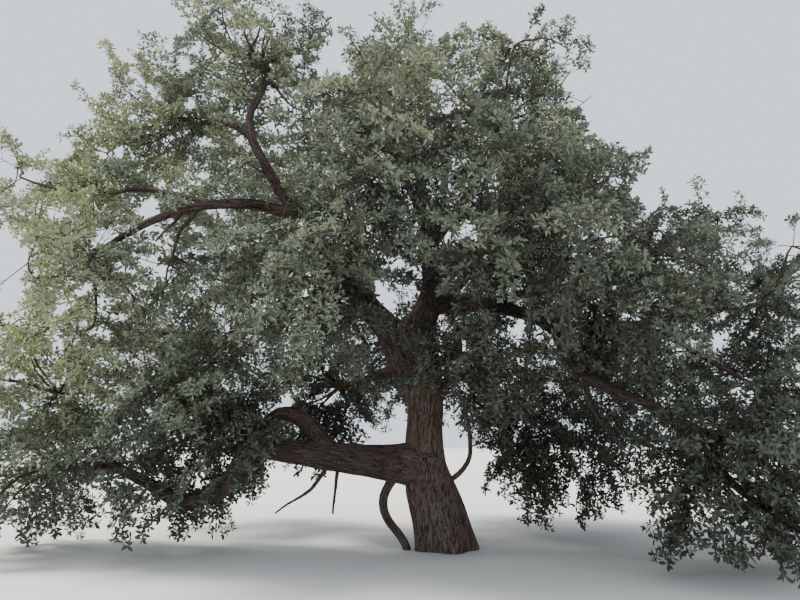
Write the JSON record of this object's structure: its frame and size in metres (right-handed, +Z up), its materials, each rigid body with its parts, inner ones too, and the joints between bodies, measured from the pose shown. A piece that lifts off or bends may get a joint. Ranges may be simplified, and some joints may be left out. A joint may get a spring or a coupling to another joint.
{
  "type": "oak tree",
  "caption": "Broad-crowned oak with a leaning, flared trunk that forks low into long spreading boughs with masses of leafy twigs.",
  "frame": {"origin": "on the ground, at the middle of the flat cut under the trunk", "axes": "+Z up, +X along the widest spread of the crown (to the picture's right), -Y towards the picture's viewpoint"},
  "size_m": [18.3873, 10.671, 11.776],
  "materials": {
    "bark": "deeply furrowed grey-brown bark, matt",
    "leaves": "mid to dark green leaves with a slight sheen"
  },
  "bodies": {
    "root": {"bough_back_left": "bark", "bough_back_left_low": "bark", "bough_back_low": "bark", "bough_back_right": "bark", "bough_back_right_low": "bark", "bough_centre": "bark", "bough_far_right": "bark", "bough_front": "bark", "bough_front_left": "bark", "bough_front_right": "bark", "bough_left_arch": "bark", "bough_left_far": "bark", "bough_left_leader": "bark", "bough_left_lift": "bark", "bough_left_low": "bark", "bough_left_reach": "bark", "bough_left_rise": "bark", "bough_left_side": "bark", "bough_left_stub": "bark", "bough_left_tip": "bark", "bough_right_drop": "bark", "bough_right_edge": "bark", "bough_right_end": "bark", "bough_right_front": "bark", "bough_right_high": "bark", "bough_right_inner": "bark", "bough_right_long": "bark", "bough_right_shoulder": "bark", "bough_top_centre": "bark", "bough_top_right": "bark", "bough_upper_left": "bark", "foliage_back_left_high": "leaves", "foliage_back_left_low": "leaves", "foliage_back_low": "leaves", "foliage_back_right_high": "leaves", "foliage_back_right_low": "leaves", "foliage_far_right": "leaves", "foliage_front": "leaves", "foliage_front_left": "leaves", "foliage_front_low": "leaves", "foliage_front_right": "leaves", "foliage_left_arch": "leaves", "foliage_left_bottom": "leaves", "foliage_left_inner": "leaves", "foliage_left_low": "leaves", "foliage_left_mid": "leaves", "foliage_left_reach": "leaves", "foliage_left_tip": "leaves", "foliage_right_drop": "leaves", "foliage_right_edge": "leaves", "foliage_right_foot": "leaves", "foliage_right_high": "leaves", "foliage_right_inner": "leaves", "foliage_right_mid": "leaves", "foliage_right_shoulder": "leaves", "foliage_top_centre": "leaves", "foliage_top_left": "leaves", "foliage_top_right": "leaves", "foliage_upper_left": "leaves", "trunk": "bark"}
  },
  "joints": []
}
